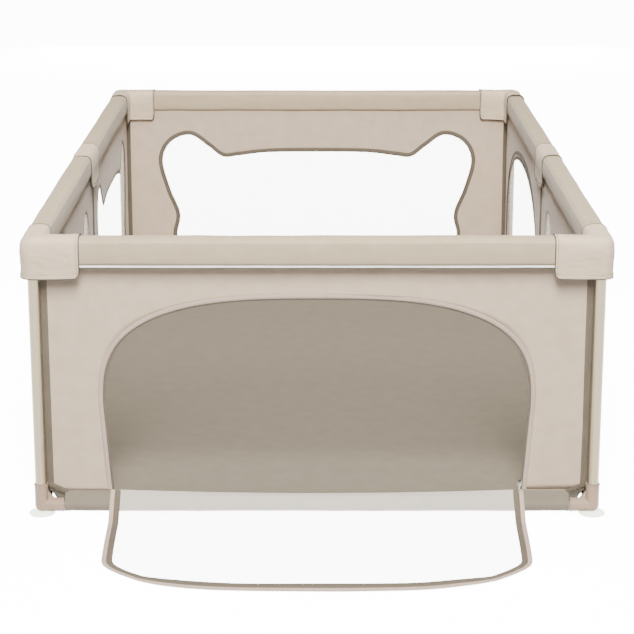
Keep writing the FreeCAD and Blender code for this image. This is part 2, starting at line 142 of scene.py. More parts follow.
# plain-woven polyester: matt, a soft sheen at grazing angles, threads over and under each other
def clothMaterial(name, dark, light, threadMm, bump, sheen=0.12, rough=0.88):
    material, tree, shader = newMaterial(name)
    uv = addNode(tree, "ShaderNodeUVMap", {"uv_map": "cloth"}).outputs["UV"]
    place = addNode(tree, "ShaderNodeTexCoord").outputs["Object"]
    # wave texture bands repeat every 0.314 / scale
    scale = 0.314 / (threadMm / 1000)
    warp = addNode(tree, "ShaderNodeTexWave", {"bands_direction": "X", "Scale": scale},
                   {"Vector": uv}).outputs["Fac"]
    weft = addNode(tree, "ShaderNodeTexWave", {"bands_direction": "Y", "Scale": scale},
                   {"Vector": uv}).outputs["Fac"]
    weave = addNode(tree, "ShaderNodeMath", {"operation": "MULTIPLY"}, {0: warp, 1: weft}).outputs[0]
    # slow change of tone over a hand's width, and a finer fleck from uneven threads
    broad = addNode(tree, "ShaderNodeTexNoise", {"Scale": 30.0, "Detail": 5.0}, {"Vector": place})
    fleck = addNode(tree, "ShaderNodeTexNoise", {"Scale": 900.0, "Detail": 1.0}, {"Vector": place})
    tone = addNode(tree, "ShaderNodeMix", {"Factor": 0.35},
                   {"A": broad.outputs["Fac"], "B": fleck.outputs["Fac"]}).outputs["Result"]
    colour = ramp(tree, tone, [(0.3, dark), (0.7, light)])
    # the weave's low points are painted a little darker: painted shade between the threads
    shade = addNode(tree, "ShaderNodeMapRange", {"To Min": 0.9, "To Max": 1.02}, {"Value": weave})
    tinted = addNode(tree, "ShaderNodeVectorMath", {"operation": "SCALE"},
                     {"Vector": colour, "Scale": shade.outputs["Result"]}).outputs["Vector"]
    tree.links.new(tinted, shader.inputs["Base Color"])
    relief = addNode(tree, "ShaderNodeBump", {"Strength": bump, "Distance": 0.0004},
                     {"Height": weave})
    tree.links.new(relief.outputs["Normal"], shader.inputs["Normal"])
    shader.inputs["Roughness"].default_value = rough
    shader.inputs["Sheen Weight"].default_value = sheen
    shader.inputs["Sheen Roughness"].default_value = 0.4
    shader.inputs["Specular IOR Level"].default_value = 0.25
    return material


# open net knitted from fine white yarn: light goes through the holes, the yarn scatters it
def netMaterial(name, yarn, holeMm, openShare):
    material, tree, shader = newMaterial(name)
    uv = addNode(tree, "ShaderNodeUVMap", {"uv_map": "cloth"}).outputs["UV"]
    cells = addNode(tree, "ShaderNodeTexVoronoi", {"voronoi_dimensions": "2D", "Scale": 1000 / holeMm,
                                                         "Randomness": 0.15},
                    {"Vector": uv})
    cover = addNode(tree, "ShaderNodeMapRange",
                    {"From Min": openShare, "From Max": openShare + 0.12, "To Min": 0.2, "To Max": 0.86},
                    {"Value": cells.outputs["Distance"]})
    tree.links.new(cover.outputs["Result"], shader.inputs["Alpha"])
    shader.inputs["Base Color"].default_value = linear(yarn)
    shader.inputs["Roughness"].default_value = 0.7
    shader.inputs["Sheen Weight"].default_value = 0.2
    return material


# satin lacquer over steel tube: even colour, soft long highlights, faint drawing lines
def lacquerMaterial(name, colour):
    material, tree, shader = newMaterial(name)
    place = addNode(tree, "ShaderNodeTexCoord").outputs["Object"]
    drawn = addNode(tree, "ShaderNodeMapping", {"Scale": (900, 900, 12)}, {"Vector": place})
    grain = addNode(tree, "ShaderNodeTexNoise", {"Scale": 1.0, "Detail": 2.0},
                    {"Vector": drawn.outputs["Vector"]})
    gloss = addNode(tree, "ShaderNodeMapRange", {"To Min": 0.26, "To Max": 0.38},
                    {"Value": grain.outputs["Fac"]})
    tree.links.new(gloss.outputs["Result"], shader.inputs["Roughness"])
    shader.inputs["Base Color"].default_value = linear(colour)
    shader.inputs["Metallic"].default_value = 0.6
    return material


# injection-moulded nylon: satin, finely sparked skin from the mould
def nylonMaterial(name, dark, light):
    material, tree, shader = newMaterial(name)
    place = addNode(tree, "ShaderNodeTexCoord").outputs["Object"]
    cloud = addNode(tree, "ShaderNodeTexNoise", {"Scale": 14.0, "Detail": 2.0}, {"Vector": place})
    colour = ramp(tree, cloud.outputs["Fac"], [(0.35, dark), (0.65, light)])
    tree.links.new(colour, shader.inputs["Base Color"])
    spark = addNode(tree, "ShaderNodeTexNoise", {"Scale": 2200.0, "Detail": 1.0}, {"Vector": place})
    relief = addNode(tree, "ShaderNodeBump", {"Strength": 0.12, "Distance": 0.0002},
                     {"Height": spark.outputs["Fac"]})
    tree.links.new(relief.outputs["Normal"], shader.inputs["Normal"])
    shader.inputs["Roughness"].default_value = 0.46
    shader.inputs["Specular IOR Level"].default_value = 0.2
    return material


# clear soft PVC: slightly green-grey where thick, glossy skin
def pvcMaterial(name, colour):
    material, tree, shader = newMaterial(name)
    place = addNode(tree, "ShaderNodeTexCoord").outputs["Object"]
    haze = addNode(tree, "ShaderNodeTexNoise", {"Scale": 120.0}, {"Vector": place})
    gloss = addNode(tree, "ShaderNodeMapRange", {"To Min": 0.12, "To Max": 0.28},
                    {"Value": haze.outputs["Fac"]})
    tree.links.new(gloss.outputs["Result"], shader.inputs["Roughness"])
    shader.inputs["Base Color"].default_value = linear(colour)
    shader.inputs["Transmission Weight"].default_value = 0.75
    shader.inputs["IOR"].default_value = 1.52
    return material


# nickel-plated zinc casting: bright, with fine tumbling marks
def nickelMaterial(name):
    material, tree, shader = newMaterial(name)
    place = addNode(tree, "ShaderNodeTexCoord").outputs["Object"]
    marks = addNode(tree, "ShaderNodeTexNoise", {"Scale": 700.0, "Detail": 3.0}, {"Vector": place})
    gloss = addNode(tree, "ShaderNodeMapRange", {"To Min": 0.16, "To Max": 0.34},
                    {"Value": marks.outputs["Fac"]})
    tree.links.new(gloss.outputs["Result"], shader.inputs["Roughness"])
    shader.inputs["Base Color"].default_value = linear("#55514b")
    shader.inputs["Metallic"].default_value = 1.0
    return material


# 0.5 mm threads would not show, so the weave is drawn at about 1 mm
mats = {
    "railOxford": clothMaterial("beige oxford polyester", "#a29074", "#ad9b7f", 1.0, 0.35),
    "capOxford": clothMaterial("beige oxford, caps", "#bba689", "#c6b296", 1.0, 0.35),
    "wallOxford": clothMaterial("pinkish beige oxford lining", "#b09b83", "#bba68f", 0.9, 0.25),
    "matOxford": clothMaterial("taupe coated oxford", "#6a6152", "#72695a", 1.1, 0.3, 0.05, 0.75),
    # tape colour, also used for the straps and corner tubes at the posts, where it is painted shade
    "windowTape": clothMaterial("taupe woven tape", "#574d3f", "#605648", 0.7, 0.5, 0.05),
    "binding": clothMaterial("folded polyester binding", "#a5907f", "#af9b8a", 0.6, 0.4, 0.1),
    "piping": clothMaterial("cream bias piping", "#efe9dd", "#f6f1e8", 0.6, 0.4, 0.1),
    # thread colour serves the stitches, and also the dark cords beside the piping, which are painted shade
    "thread": clothMaterial("spun polyester thread", "#3d3528", "#463d30", 0.3, 0.3, 0.1),
    "net": netMaterial("white knitted net", "#efe6d8", 1.3, 0.42),
    "lacquer": lacquerMaterial("champagne lacquered steel", "#5f5542"),
    "nylon": nylonMaterial("moulded nylon", "#8a7461", "#937d6a"),
    "pvc": pvcMaterial("clear soft PVC", "#cfd6c6"),
    "nickel": nickelMaterial("nickel-plated zinc"),
    # dark cord colour: painted shade along the edges of the caps
    "cord": clothMaterial("taupe cord, painted edge shade", "#453c30", "#4e4538", 0.6, 0.4, 0.1),
}
print("materials made")


# mesh helpers
def finishMesh(name, bm, material, body, thickness=0.0, flip=False):
    if flip:
        bmesh.ops.reverse_faces(bm, faces=bm.faces[:])
    for face in bm.faces:
        face.smooth = True
    mesh = bpy.data.meshes.new(name)
    bm.to_mesh(mesh)
    bm.free()
    mesh.materials.append(mats[material])
    piece = bpy.data.objects.new(name, mesh)
    bpy.context.scene.collection.objects.link(piece)
    if thickness:
        skin = piece.modifiers.new("thickness", "SOLIDIFY")
        skin.thickness = thickness
        skin.offset = 0.0
    if body:
        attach(piece, body)
    return piece


# Faces outwards, with the open ends filled first when asked.
def turnOut(bm, closeEnds=False):
    if closeEnds:
        bmesh.ops.holes_fill(bm, edges=[e for e in bm.edges if e.is_boundary], sides=0)
    bmesh.ops.recalc_face_normals(bm, faces=bm.faces[:])


# Bends a flat grid: place(s, t) gives each point of a cols by rows grid; uvOf(s, t, point) its cloth place.
def gridMesh(cols, rows, place, matrix=None, uvOf=None, weld=0.0):
    bm = bmesh.new()
    bmesh.ops.create_grid(bm, x_segments=cols, y_segments=rows, size=0.5)
    layer = bm.loops.layers.uv.new("cloth")
    uvs = {}
    for v in bm.verts:
        s, t = v.co.x + 0.5, v.co.y + 0.5
        point = place(s, t)
        uvs[v] = uvOf(s, t, point) if uvOf else (point.x, point.z)
        v.co = matrix @ point if matrix else point
    for face in bm.faces:
        for loop in face.loops:
            loop[layer].uv = uvs[loop.vert]
    if weld:
        bmesh.ops.remove_doubles(bm, verts=bm.verts[:], dist=weld)
    return bm


# A smooth swing between -size and size that repeats roughly every wave.
def wobble(point, wave, size, seed=0.0):
    return noise.noise(Vector((point[0] / wave + seed, point[1] / wave, point[2] / wave))) * size


def smooth(a, b, x):
    f = min(max((x - a) / (b - a), 0.0), 1.0)
    return f * f * (3 - 2 * f)


# A point and outward normal on a rounded rectangle, from the bottom middle, anticlockwise.
def roundedLoop(halfWide, halfTall, radius, t):
    wide, tall, arc = halfWide - radius, halfTall - radius, math.pi / 2 * radius
    legs = [wide, arc, 2 * tall, arc, 2 * wide, arc, 2 * tall, arc, wide]
    d = (t % 1.0) * sum(legs)
    corners = [(wide, -tall, -90), (wide, tall, 0), (-wide, tall, 90), (-wide, -tall, 180)]
    starts = [(0, -halfTall, 1, 0), (halfWide, -tall, 0, 1), (wide, halfTall, -1, 0),
              (-halfWide, tall, 0, -1), (-wide, -halfTall, 1, 0)]
    for i, leg in enumerate(legs):
        if d <= leg or i == len(legs) - 1:
            break
        d -= leg
    if i % 2:
        cx, cy, turn = corners[i // 2]
        a = math.radians(turn) + d / radius
        return (cx + radius * math.cos(a), cy + radius * math.sin(a)), (math.cos(a), math.sin(a))
    x, y, dx, dy = starts[i // 2]
    return (x + dx * d, y + dy * d), (dy, -dx)


# Where a ray from centre leaves a polygon around it.
def cutRay(polygon, centre, angle):
    dx, dz = math.cos(angle), math.sin(angle)
    best = None
    for (ax, az), (bx, bz) in zip(polygon, polygon[1:] + polygon[:1]):
        ex, ez = bx - ax, bz - az
        det = dx * ez - dz * ex
        if abs(det) < 1e-12:
            continue
        far = ((ax - centre[0]) * ez - (az - centre[1]) * ex) / det
        along = ((ax - centre[0]) * dz - (az - centre[1]) * dx) / det
        if far > 1e-9 and -1e-9 <= along <= 1 + 1e-9 and (best is None or far > best):
            best = far
    return centre[0] + dx * best, centre[1] + dz * best


def polygonArea(points):
    pairs = zip(points, points[1:] + points[:1])
    return abs(sum(ax * bz - bx * az for (ax, az), (bx, bz) in pairs)) / 2


# A smooth closed line through points, resampled evenly to count points.
def splinePoints(points, count):
    dense = []
    n = len(points)
    for i in range(n):
        p0, p1, p2, p3 = (Vector(points[(i + k) % n]) for k in (-1, 0, 1, 2))
        for k in range(12):
            f = k / 12
            dense.append(0.5 * (2 * p1 + (p2 - p0) * f + (2 * p0 - 5 * p1 + 4 * p2 - p3) * f * f
                                + (3 * p1 - p0 - 3 * p2 + p3) * f ** 3))
    return evenly(dense + dense[:1], count, True)


# Points spaced evenly along a line of vectors.
def evenly(line, count, closed=False):
    runs = [0.0]
    for a, b in zip(line, line[1:]):
        runs.append(runs[-1] + (b - a).length)
    found, k = [], 0
    for i in range(count):
        want = runs[-1] * i / (count if closed else count - 1)
        while k < len(line) - 2 and runs[k + 1] < want:
            k += 1
        f = (want - runs[k]) / max(runs[k + 1] - runs[k], 1e-12)
        found.append(line[k].lerp(line[k + 1], min(f, 1.0)))
    return found


# A band swept along a flat line (x, z); section(t) gives (sideways, depth) for t from 0 to 1.
# Sideways is towards the line's left, depth is along +y from frontY.
def bandMesh(line, closed, section, matrix, frontY):
    count = len(line)
    steps = 10

    def place(s, t):
        i = round(s * (count if closed else count - 1))
        here = line[i % count]
        if closed:
            before, after = line[(i - 1) % count], line[(i + 1) % count]
        else:
            before, after = line[max(i - 1, 0)], line[min(i + 1, count - 1)]
        way = (after - before).normalized()
        side, depth = section(t)
        return Vector((here.x - way.y * side, frontY + depth, here.y + way.x * side))

    length = sum((b - a).length for a, b in zip(line, line[1:]))
    around = 0.02
    return gridMesh(count if closed else count - 1, steps, place, matrix,
                    lambda s, t, p: (s * length, t * around), 1e-6)


stitches = {}


# Remembers a row of stitches along a path of (point, normal) pairs, for one mesh per body.
def stitch(body, path, pitch=0.0042, lift=0.0004):
    rows = stitches.setdefault(body, [])
    points = [p for p, _ in path]
    runs = [0.0]
    for a, b in zip(points, points[1:]):
        runs.append(runs[-1] + (b - a).length)
    count = int(runs[-1] / pitch)
    k = 0
    for i in range(count):
        want = (i + 0.5) * pitch
        while k < len(points) - 2 and runs[k + 1] < want:
            k += 1
        f = (want - runs[k]) / max(runs[k + 1] - runs[k], 1e-12)
        way = (points[k + 1] - points[k]).normalized()
        normal = path[k][1].lerp(path[k + 1][1], f)
        rows.append((points[k].lerp(points[k + 1], f) + normal * lift, way, normal, pitch))


# Several bmeshes as one.
def gather(parts):
    whole = bmesh.new()
    for part in parts:
        mesh = bpy.data.meshes.new("part")
        part.to_mesh(mesh)
        part.free()
        whole.from_mesh(mesh)
        bpy.data.meshes.remove(mesh)
    return whole


# A point on the flat oval section of a tape or binding.
def doubled(angle, wide, thick):
    c, s = math.cos(angle), math.sin(angle)
    return wide * math.copysign(abs(c) ** 0.7, c), thick * math.copysign(abs(s) ** 0.7, s)


# padded rails: foam in a taut cover, with cream piping under it
rail = {
    "corner": 0.0068, "crown": 0.0034, "bulge": 0.0022, "crease": 0.0016, "creaseWide": 0.0016,
    "sway": 0.0016, "swayWave": 0.24, "wrinkle": 0.0006, "wrinkleWave": 0.03,
    "around": 96, "step": 0.007, "fill": 0.9, "creaseIn": 0.72, "creaseUp": 0.70,
    "pipingR": 0.0030, "pipingIn": -0.0165, "pipingZ": 0.5490, "pipingAround": 12, "pipingPast": 0.03,
    "pipingStep": 0.01, "pipingSag": 0.0006, "pipingSagWave": 0.15,
    "seamR": 0.0014, "shadeLineBack": 0.0004, "shadeLineAround": 8, "flapThick": 0.0008,
}


def railPad(bay):
    half = bays[bay][3] - (postX - railHalf)
    matrix = bayMatrix(bay)
    seed = len(bay) * 1.7
    r = rail["corner"]
    crease = padHalf - r + r * rail["creaseIn"], padTall - r + r * rail["creaseUp"]
    creases = [Vector((side * crease[0], crease[1])) for side in (-1, 1)]

    def place(s, t):
        x = half * (2 * s - 1)
        (y, z), (ny, nz) = roundedLoop(padHalf, padTall, r, t)
        out = rail["crown"] * max(nz, 0) * (1 - (y / padHalf) ** 2)
        out += rail["bulge"] * abs(ny) * (1 - (z / padTall) ** 2)
        far = min((Vector((y, z)) - line).length for line in creases)
        out -= rail["crease"] * math.exp(-(far / rail["creaseWide"]) ** 2)
        out += wobble((x, y * 2, z * 2), rail["swayWave"], rail["sway"], seed)
        out += wobble((x * 0.5, y * 2, z * 2), rail["wrinkleWave"], rail["wrinkle"], seed)
        return Vector((x, y + ny * out, railZ + z + nz * out))

    girth = 4 * (padHalf + padTall) - 8 * r + 2 * math.pi * r
    bm = gridMesh(int(2 * half / rail["step"]), rail["around"], place, matrix,
                  lambda s, t, p: (p.x, t * girth), 1e-6)
    turnOut(bm, True)
    piece = finishMesh(f"rail_pad_{bay}", bm, "railOxford", "frame")
    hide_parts(f"rail_cover_{bay}", *(["rail_foams"] if bay == "front" else []))

    # cream piping under the outer lower edge of the pad
    reach = half + rail["pipingPast"]
    run = evenly([Vector((-reach, 0)), Vector((reach, 0))], int(2 * half / rail["pipingStep"]))

    def sag(x):
        return wobble((x, 0, 0), rail["pipingSagWave"], rail["pipingSag"], seed)

    def pipe(s, t):
        x = run[round(s * (len(run) - 1))].x
        a = 2 * math.pi * t
        return Vector((x, rail["pipingIn"] + rail["pipingR"] * math.cos(a),
                       rail["pipingZ"] + sag(x) + rail["pipingR"] * math.sin(a)))

    bm = gridMesh(len(run) - 1, rail["pipingAround"], pipe, matrix,
                  lambda s, t, p: (p.x, t * 0.017), 1e-6)
    turnOut(bm, True)
    finishMesh(f"rail_piping_{bay}", bm, "piping", "frame")

    # dark cords in thread colour above and below the piping: painted shade for the narrow recesses either
    # side of it
    pipingShadeLines = []
    for rise in (1, -1):
        def seam(s, t, rise=rise):
            x = run[round(s * (len(run) - 1))].x
            a = 2 * math.pi * t
            z = rail["pipingZ"] + rise * (rail["pipingR"] + rail["shadeLineBack"]) + sag(x)
            return Vector((x, rail["pipingIn"] + rail["shadeLineBack"] + rail["seamR"] * math.cos(a),
                           z + rail["seamR"] * math.sin(a)))

        pipingShadeLines.append(gridMesh(len(run) - 1, rail["shadeLineAround"], seam, matrix,
                              lambda s, t, p: (p.x, t * 2 * math.pi * rail["seamR"]), 1e-7))
    bm = gather(pipingShadeLines)
    turnOut(bm, True)
    finishMesh(f"rail_piping_shade_{bay}", bm, "thread", "frame")

    # flap of cover cloth from the piping in to the top of the wall
    def flap(s, t):
        x = reach * (2 * s - 1)
        y = rail["pipingIn"] + (wallInset - rail["pipingIn"]) * t
        z = rail["pipingZ"] + (railZ - padTall - rail["pipingZ"] - rail["flapThick"]) * t
        return Vector((x, y, z))

    bm = gridMesh(40, 2, flap, matrix, lambda s, t, p: (p.x, p.z))
    finishMesh(f"rail_flap_{bay}", bm, "railOxford", "frame",
               rail["flapThick"])


for bay in bays:
    railPad(bay)
print("rails made")

# corner and middle caps
cap = {
    "hem": capLow[2], "shoulder": 0.586, "top": 0.6105, "power": 3.2,
    "outerR": 0.026, "innerR": 0.007, "hemBand": 0.0097, "endBand": 0.008, "bandRise": 0.0008,
    "along": 96, "across": 96, "thick": 0.0013,
    "bulge": 0.0022, "wrinkle": 0.0018, "wrinkleWave": 0.055, "crumple": 0.0007,
    "crumpleWave": 0.018, "hemLump": 0.0022, "hemWave": 0.045,
    "cornerR": 0.014, "cordR": 0.0014, "cordAround": 8, "grooveDeep": 0.0009, "grooveWide": 0.001,
    "bulgeUp": 0.052, "bulgeWide": 0.022, "bendFrom": 0.42, "bendTo": 0.58, "topFrom": 0.36,
    "stitchIn": 0.0012, "endStitch": 0.55, "stitchPitch": 0.0046,
}


# The plan point and outward direction at share f along one side of a corner cap.
# The post is at the origin and the arms run along +x and +y.
def cornerPlan(f, offset, radius, inward):
    turn = 1 if inward else -1
    o = offset * turn
    start, stop = cap["bendFrom"], cap["bendTo"]
    bend = Vector((o + radius, o + radius))
    if f < start:
        k = f / start
        return Vector((capReach + (bend.x - capReach) * k, o)), Vector((0, turn))
    if f > stop:
        k = (1 - f) / (1 - stop)
        return Vector((o, capReach + (bend.y - capReach) * k)), Vector((turn, 0))
    a = math.radians(-90 - 90 * (f - start) / (stop - start))
    way = Vector((math.cos(a), math.sin(a)))
    return bend + way * radius, way * (-turn)


# Across a cap from the outer hem over the top to the inner hem: side from -1 to 1, and z.
def capSection(t, hem):
    low, high = cap["topFrom"], 1 - cap["topFrom"]
    if t < low:
        return -1.0, hem + (cap["shoulder"] - hem) * t / low
    if t > high:
        return 1.0, hem + (cap["shoulder"] - hem) * (1 - t) / (1 - high)
    a = math.pi * (1 - (t - low) / (high - low))
    c, s = math.cos(a), math.sin(a)
    rise = cap["top"] - cap["shoulder"]
    return math.copysign(abs(c) ** (2 / cap["power"]), c), cap["shoulder"] + rise * s ** (2 / cap["power"])


# How far the cap's cloth stands out at a point.
def capRelief(point, z, hem, fromEnd, seed):
    height = z - hem
    out = cap["bandRise"] * (1 - smooth(cap["hemBand"] - 0.001, cap["hemBand"], height))
    out += cap["bandRise"] * (1 - smooth(cap["endBand"] - 0.001, cap["endBand"], fromEnd))
    out -= cap["grooveDeep"] * math.exp(-((height - cap["hemBand"]) / cap["grooveWide"]) ** 2)
    out -= cap["grooveDeep"] * math.exp(-((fromEnd - cap["endBand"]) / cap["grooveWide"]) ** 2)
    swell = math.exp(-((height - cap["bulgeUp"]) / cap["bulgeWide"]) ** 2)
    out += cap["bulge"] * swell * smooth(0, 0.02, fromEnd)
    out += wobble(point, cap["wrinkleWave"], cap["wrinkle"], seed)
    out += wobble((point[0], point[1], point[2] * 2.5), cap["crumpleWave"], cap["crumple"], seed)
    return out


# The hem is cut round at each end of a cap.
def endLift(fromEnd, height):
    r = cap["cornerR"]
    near = max(r - fromEnd, 0)
    return (r - math.sqrt(max(r * r - near * near, 0))) * (1 - smooth(0, 0.03, height))


capShadeCords = []


# A thin dark cord round the whole edge of a cap: painted shade for the dark outline where the cap's edges
# meet the rail.
def shadeCordEdge(place, matrix):
    steps = 120
    path = [place(k / steps, 0) for k in range(steps)]
    path += [place(1, k / steps) for k in range(steps)]
    path += [place(1 - k / steps, 1) for k in range(steps)]
    path += [place(0, 1 - k / steps) for k in range(steps)]
    count = len(path)
    r = cap["cordR"]

    def tube(s, t):
        i = round(s * count) % count
        way = (path[(i + 1) % count] - path[i - 1]).normalized()
        side = way.cross(Vector((0.31, 0.52, 0.79))).normalized()
        a = 2 * math.pi * t
        return path[i] + (side * math.cos(a) + way.cross(side) * math.sin(a)) * r

    capShadeCords.append(gridMesh(count, cap["cordAround"], tube, matrix,
                             lambda s, t, p: (s * 0.9, t * 0.007), 1e-7))


# Rows of stitches along both hems and both ends of a cap.
def stitchRows(place, matrix, hem, endShare, flip):
    low = cap["topFrom"] * (cap["hemBand"] - cap["stitchIn"]) / (cap["shoulder"] - hem)
    end = endShare * cap["endStitch"]
    turn = -1 if flip else 1
    for row in (low, 1 - low, end, 1 - end):
        across = row in (low, 1 - low)
        path = []
        for k in range(161):
            s, t = (k / 160, row) if across else (row, 0.01 + 0.98 * k / 160)
            here = place(s, t)
            ds = place(min(s + 0.002, 1), t) - place(max(s - 0.002, 0), t)
            dt = place(s, min(t + 0.002, 1)) - place(s, max(t - 0.002, 0))
            normal = (matrix.to_3x3() @ ds).cross(matrix.to_3x3() @ dt).normalized() * turn
            path.append((matrix @ here + normal * cap["thick"] * 0.5, normal))
        stitch("frame", path, cap["stitchPitch"], 0.0002)


def cornerCap(name, sx, sy):
    seed = sx * 2.3 + sy * 5.1
    matrix = Matrix.Translation((sx * postX, sy * postY, 0)) @ Matrix.Diagonal((-sx, -sy, 1, 1))

    def place(s, t):
        side, z = capSection(t, cap["hem"])
        outer, outerWay = cornerPlan(s, capHalf, cap["outerR"], False)
        inner, innerWay = cornerPlan(s, capHalf, cap["innerR"], True)
        flat = outer.lerp(inner, (side + 1) / 2)
        way = (outerWay if side < 0 else innerWay) * abs(side) ** 3
        normal = Vector((way.x, way.y, 1 - abs(side) ** 3)).normalized()
        fromEnd = max(capReach - max(outer.x, outer.y), 0)
        z += endLift(fromEnd, z - cap["hem"])
        out = capRelief((flat.x, flat.y, z), z, cap["hem"], fromEnd, seed)
        z += (1 - smooth(0, 0.03, z - cap["hem"])) * wobble((flat.x, flat.y, seed), cap["hemWave"],
                                                             cap["hemLump"])
        return Vector((flat.x, flat.y, z)) + normal * out

    flip = sx * sy > 0
    stitchRows(place, matrix, cap["hem"], cap["endBand"] / (2 * capReach), flip)
    shadeCordEdge(place, matrix)
    bm = gridMesh(cap["along"], cap["across"], place, matrix,
                  lambda s, t, p: (s * 0.22, t * 0.22))
    piece = finishMesh(f"cap_{name}", bm, "capOxford", "frame", cap["thick"],
                       flip)
    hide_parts(f"corner_cap_{name}")


for name, sx, sy in (("front_left", -1, -1), ("front_right", 1, -1), ("back_left", -1, 1),
                     ("back_right", 1, 1)):
    cornerCap(name, sx, sy)


midCap = {
    "point": 0.012, "pointUp": 0.05, "fold": 0.0022, "foldWave": 0.035, "endSink": 0.00105,
    "sway": 0.003, "swayWave": 0.05,
}


def middleCap(name, sx):
    half = sideCap[1][1]
    hem = sideCap[0][2]
    matrix = Matrix.Translation((sx * postX, 0, 0)) @ Matrix.Diagonal((-sx, 1, 1, 1))
    wide = (sideCap[1][0] - sideCap[0][0]) / 2

    def place(s, t):
        y = half * (2 * s - 1)
        side, z = capSection(t, hem)
        fromEnd = half - abs(y)
        z += endLift(fromEnd, z - hem)
        # the inner flap hangs to a shallow point in the middle
        if side > 0:
            z -= (1 - smooth(0, midCap["pointUp"], z - hem)) * midCap["point"] * (1 - abs(y) / half)
        way = abs(side) ** 3
        normal = Vector((math.copysign(way, side), 0, 1 - way)).normalized()
        out = capRelief((side * wide, y, z), z, hem, fromEnd, sx * 3.7)
        out += wobble((side * wide * 0.3, y * 1.6, z * 0.4), midCap["foldWave"], midCap["fold"], sx * 1.9)
        out -= midCap["endSink"] * smooth(0.03, 0.0, fromEnd)
        y += wobble((side * wide, z, 0.3), midCap["swayWave"], midCap["sway"], sx * 7.7)
        return Vector((side * wide, y, z)) + normal * out

    stitchRows(place, matrix, hem, cap["endBand"] / (2 * half), sx < 0)
    shadeCordEdge(place, matrix)
    bm = gridMesh(cap["along"], cap["across"], place, matrix, lambda s, t, p: (s * 0.16, t * 0.22))
    piece = finishMesh(f"cap_middle_{name}", bm, "capOxford", "frame", cap["thick"],
                       sx < 0)
    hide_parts(f"middle_cap_{name}")


middleCap("left", -1)
middleCap("right", 1)
bm = gather(capShadeCords)
turnOut(bm)
finishMesh("cap_shade_cords", bm, "cord", "frame")
print("caps made")

# walls and windows
wall = {
    "top": 0.5532, "thick": 0.0009, "rows": 14, "sway": 0.0030, "swayWave": 0.35,
    "pucker": 0.0009, "puckerWave": 0.028, "cutX": 0.034, "cutZ": 0.019, "columns": 260,
    "tuck": 0.003, "calm": 0.06, "topBand": 0.02, "centreZ": 0.150,
    "netSag": 0.003, "netSagWave": 0.2, "netRows": 16,
}
# half of the bear window, from the forehead round the ear and cheek to the chin, for a wall 1.143 wide
bearHalf = [
    (0, .431), (.150, .429), (.238, .419), (.283, .416), (.325, .447), (.382, .483), (.444, .461),
    (.473, .401), (.452, .310), (.423, .232), (.433, .168), (.415, .118), (.345, .090),
    (.180, .082), (0, .081),
]
bearFabricHalf, sideBearFabricHalf, archShare = 0.5715, 0.5835, 0.8686
arch = {"low": 0.084, "spring": 0.240, "high": 0.486, "topPower": 2.3, "footPower": 6.0, "count": 300}
tape = {"half": 0.0064, "thick": 0.0016, "archHalf": 0.0052, "archGap": 0.0078}
door = {
    "foot": 0.445, "half": 0.459, "spring": 0.238, "top": 0.4785, "power": 2.9,
}


def bearLine(scale):
    left = [(-x * scale, z) for x, z in reversed(bearHalf)]
    return splinePoints(left + [(x * scale, z) for x, z in bearHalf[1:-1]], 300)


def archLine(half, low, middle, high):
    points = []
    for i in range(arch["count"]):
        a = 1.5 * math.pi - 2 * math.pi * i / arch["count"]
        c, s = math.cos(a), math.sin(a)
        power, reach = (arch["topPower"], high - middle) if s > 0 else (arch["footPower"], middle - low)
        points.append(Vector((half * math.copysign(abs(c) ** (2 / power), c),
                              middle + reach * math.copysign(abs(s) ** (2 / power), s))))
    return evenly(points + points[:1], arch["count"], True)


# Half width of the doorway, moved inwards by inset, at a height.
def doorWidth(z, inset):
    half = door["half"] - inset
    tall = door["top"] - inset - door["spring"]
    if z < door["spring"]:
        return half - (door["half"] - door["foot"]) * (door["spring"] - z) / (door["spring"] - sill.z)
    return half * max(1 - ((z - door["spring"]) / tall) ** door["power"], 0) ** (1 / door["power"])


# The doorway's outline from its left foot over the top to its right foot.
def doorLine(inset, low, count):
    half = door["half"] - inset
    tall = door["top"] - inset - door["spring"]
    line = [Vector((-doorWidth(low + (door["spring"] - low) * i / 20, inset),
                    low + (door["spring"] - low) * i / 20)) for i in range(20)]
    for i in range(121):
        a = math.pi * (1 - i / 120)
        c, s = math.cos(a), math.sin(a)
        line.append(Vector((half * math.copysign(abs(c) ** (2 / door["power"]), c),
                            door["spring"] + tall * abs(s) ** (2 / door["power"]))))
    line += [Vector((-p.x, p.y)) for p in reversed(line[:20])]
    return evenly(line, count)


def wallBorder(bay):
    low, high = wallEnds(bay)
    kinds = bays[bay][4:]
    bottom = wallBottom - wall["tuck"]
    border = []
    if kinds[0] == "corner":
        border += [(low + wall["cutX"], bottom), (low, bottom + wall["cutZ"])]
    else:
        border += [(low, bottom)]
    border += [(low, wall["top"]), (high, wall["top"])]
    if kinds[1] == "corner":
        border += [(high, bottom + wall["cutZ"]), (high - wall["cutX"], bottom)]
    else:
        border += [(high, bottom)]
    return border


def wallRipple(bay, x, z):
    seed = len(bay) * 0.9 + bays[bay][0]
    edge = min(z - wallBottom, wall["top"] - z)
    calm = smooth(0, wall["calm"], edge)
    sway = wobble((x, 0.0, z), wall["swayWave"], wall["sway"], seed) * calm
    top = math.exp(-((wall["top"] - z) / wall["topBand"]) ** 2)
    return sway + wobble((x, 0.0, z * 0.25), wall["puckerWave"], wall["pucker"] * (0.25 + top), seed)


